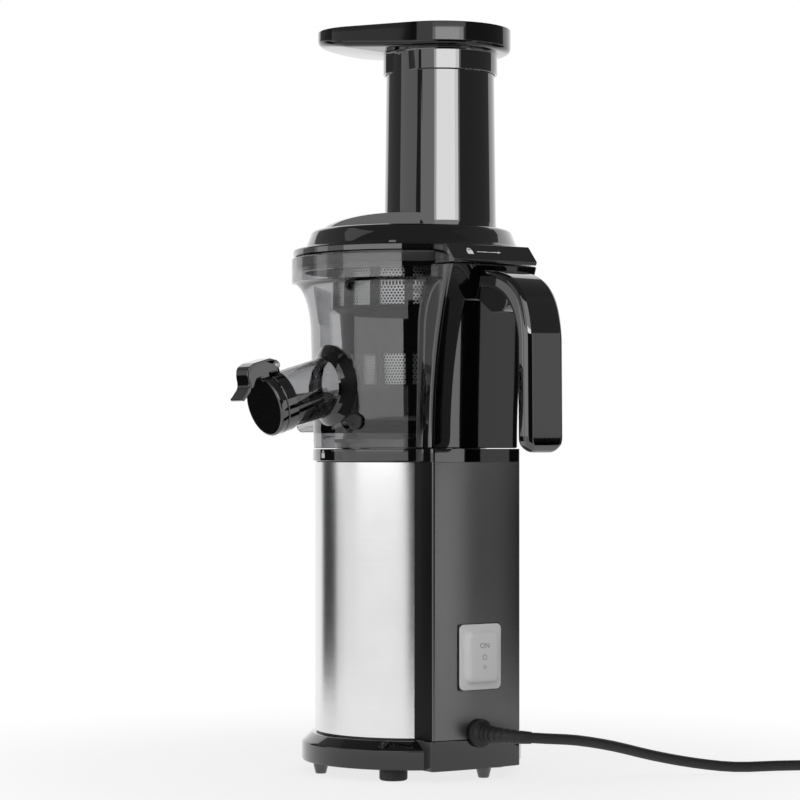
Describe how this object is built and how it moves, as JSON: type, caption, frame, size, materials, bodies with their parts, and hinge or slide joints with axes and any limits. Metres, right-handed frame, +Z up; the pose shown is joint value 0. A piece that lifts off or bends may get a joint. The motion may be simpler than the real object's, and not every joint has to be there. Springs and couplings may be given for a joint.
{
  "type": "slow juicer",
  "caption": "Upright cold press juicer with a steel motor base, smoky bowl, spout with hinged cap, hanging handle, tall feed chute and offset tray.",
  "frame": {"origin": "on the bowl axis at the floor, between the feet", "axes": "+Z up, -Y along the juice spout, +X towards the rear spine, cord and handle, -X along the pulp outlet"},
  "size_m": [0.3393, 0.4581, 0.4299],
  "materials": {
    "gloss_black": "gloss",
    "satin_black": "satin",
    "dark_grey": "satin",
    "light_grey": "satin",
    "white_plastic": "satin",
    "ivory_plastic": "satin",
    "brushed_sleeve": "brushed",
    "steel": "turned",
    "magnet": "sintered",
    "die_cast": "cast",
    "brass": "satin",
    "copper": "lacquered",
    "board": "satin",
    "rubber": "matte",
    "seal_grey": "matte",
    "smoke_clear": "clear"
  },
  "bodies": {
    "base": {"base_cover": "gloss_black", "rubber_feet": "rubber", "base_screws": "steel", "motor_housing": "satin_black", "steel_sleeve": "brushed_sleeve", "rear_cover": "dark_grey", "top_deck": "gloss_black", "deck_screws": "steel", "shaft_seal": "seal_grey", "motor_can": "steel", "motor_end_cap": "ivory_plastic", "motor_magnets": "magnet", "motor_brushes": "brass", "gearbox_case": "die_cast", "gearbox_cover": "die_cast", "gearbox_screws": "steel", "lay_pins": "steel", "shaft_bearings": "steel", "control_board": "board", "microswitch": "satin_black", "plunger_spring": "steel", "switch_body": "satin_black", "switch_cover": "light_grey", "cord_gland": "rubber", "cord_clamp": "satin_black", "power_cord": "rubber", "cord_coil": "rubber", "cord_tie": "white_plastic", "plug_body": "satin_black", "plug_pins": "brass"},
    "rotor": {"motor_rotor": "copper", "motor_fan": "satin_black"},
    "first_gear": {"first_gear": "ivory_plastic"},
    "second_gear": {"second_gear": "steel"},
    "drive": {"output_gear": "steel", "drive_shaft": "steel"},
    "auger": {"auger": "satin_black"},
    "plunger": {"plunger": "ivory_plastic"},
    "rocker": {"switch_rocker": "white_plastic"},
    "gasket": {"bowl_gasket": "seal_grey"},
    "bowl": {"juicing_bowl": "smoke_clear", "bowl_seal": "seal_grey", "drain_plug": "satin_black", "rear_column": "gloss_black", "handle": "gloss_black", "handle_screws": "steel", "spout_ring": "gloss_black", "cap_hinge_pin": "steel", "strainer_frame": "satin_black", "strainer_mesh": "steel"},
    "cap": {"spout_cap": "gloss_black", "cap_seal": "seal_grey"},
    "seal": {"lid_seal": "seal_grey"},
    "lid": {"lid": "gloss_black", "auger_bush": "ivory_plastic"},
    "tray": {"feeding_tray": "gloss_black"}
  },
  "joints": [
    {"name": "motor_spin", "type": "hinge", "parent": "base", "child": "rotor", "pos_m": [0, 0, 0], "axis": [0, 0, 1], "continuous": true},
    {"name": "first_gear_spin", "type": "hinge", "parent": "base", "child": "first_gear", "pos_m": [-0.02255, -0.00821, 0], "axis": [0, 0, 1], "continuous": true},
    {"name": "second_gear_spin", "type": "hinge", "parent": "base", "child": "second_gear", "pos_m": [-0.00494, -0.02451, 0], "axis": [0, 0, 1], "continuous": true},
    {"name": "drive_spin", "type": "hinge", "parent": "base", "child": "drive", "pos_m": [0, 0, 0], "axis": [0, 0, 1], "continuous": true},
    {"name": "auger_lift", "type": "slide", "parent": "drive", "child": "auger", "axis": [0, 0, 1], "range_m": [0, 0.1]},
    {"name": "plunger_slide", "type": "slide", "parent": "base", "child": "plunger", "axis": [0, 0, 1], "range_m": [-0.0025, 0], "stiffness_N_per_m": 300, "springref_m": 0.002, "deforming": ["plunger_spring"]},
    {"name": "rocker_tilt", "type": "hinge", "parent": "base", "child": "rocker", "pos_m": [0.06, 0, 0.07], "axis": [0, 1, 0], "range_deg": [-6, 6]},
    {"name": "bowl_turn", "type": "hinge", "parent": "base", "child": "gasket", "pos_m": [0, 0, 0], "axis": [0, 0, 1], "range_deg": [0, 20]},
    {"name": "bowl_lift", "type": "slide", "parent": "gasket", "child": "bowl", "axis": [0, 0, 1], "range_m": [0, 0.1]},
    {"name": "cap_swing", "type": "hinge", "parent": "bowl", "child": "cap", "pos_m": [0, -0.09643, 0.23414], "axis": [-1, 0, 0], "range_deg": [0, 100]},
    {"name": "lid_turn", "type": "hinge", "parent": "bowl", "child": "seal", "pos_m": [0, 0, 0], "axis": [0, 0, 1], "range_deg": [0, 30]},
    {"name": "lid_lift", "type": "slide", "parent": "seal", "child": "lid", "axis": [0, 0, 1], "range_m": [0, 0.1]},
    {"name": "tray_lift", "type": "slide", "parent": "lid", "child": "tray", "axis": [0, 0, 1], "range_m": [0, 0.06]}
  ],
  "couplings": [
    {"joint": "first_gear_spin", "follows": "motor_spin", "ratio": -0.2},
    {"joint": "second_gear_spin", "follows": "motor_spin", "ratio": 0.052632},
    {"joint": "drive_spin", "follows": "motor_spin", "ratio": -0.017544},
    {"joint": "auger_lift", "follows": "bowl_lift", "ratio": 1}
  ]
}
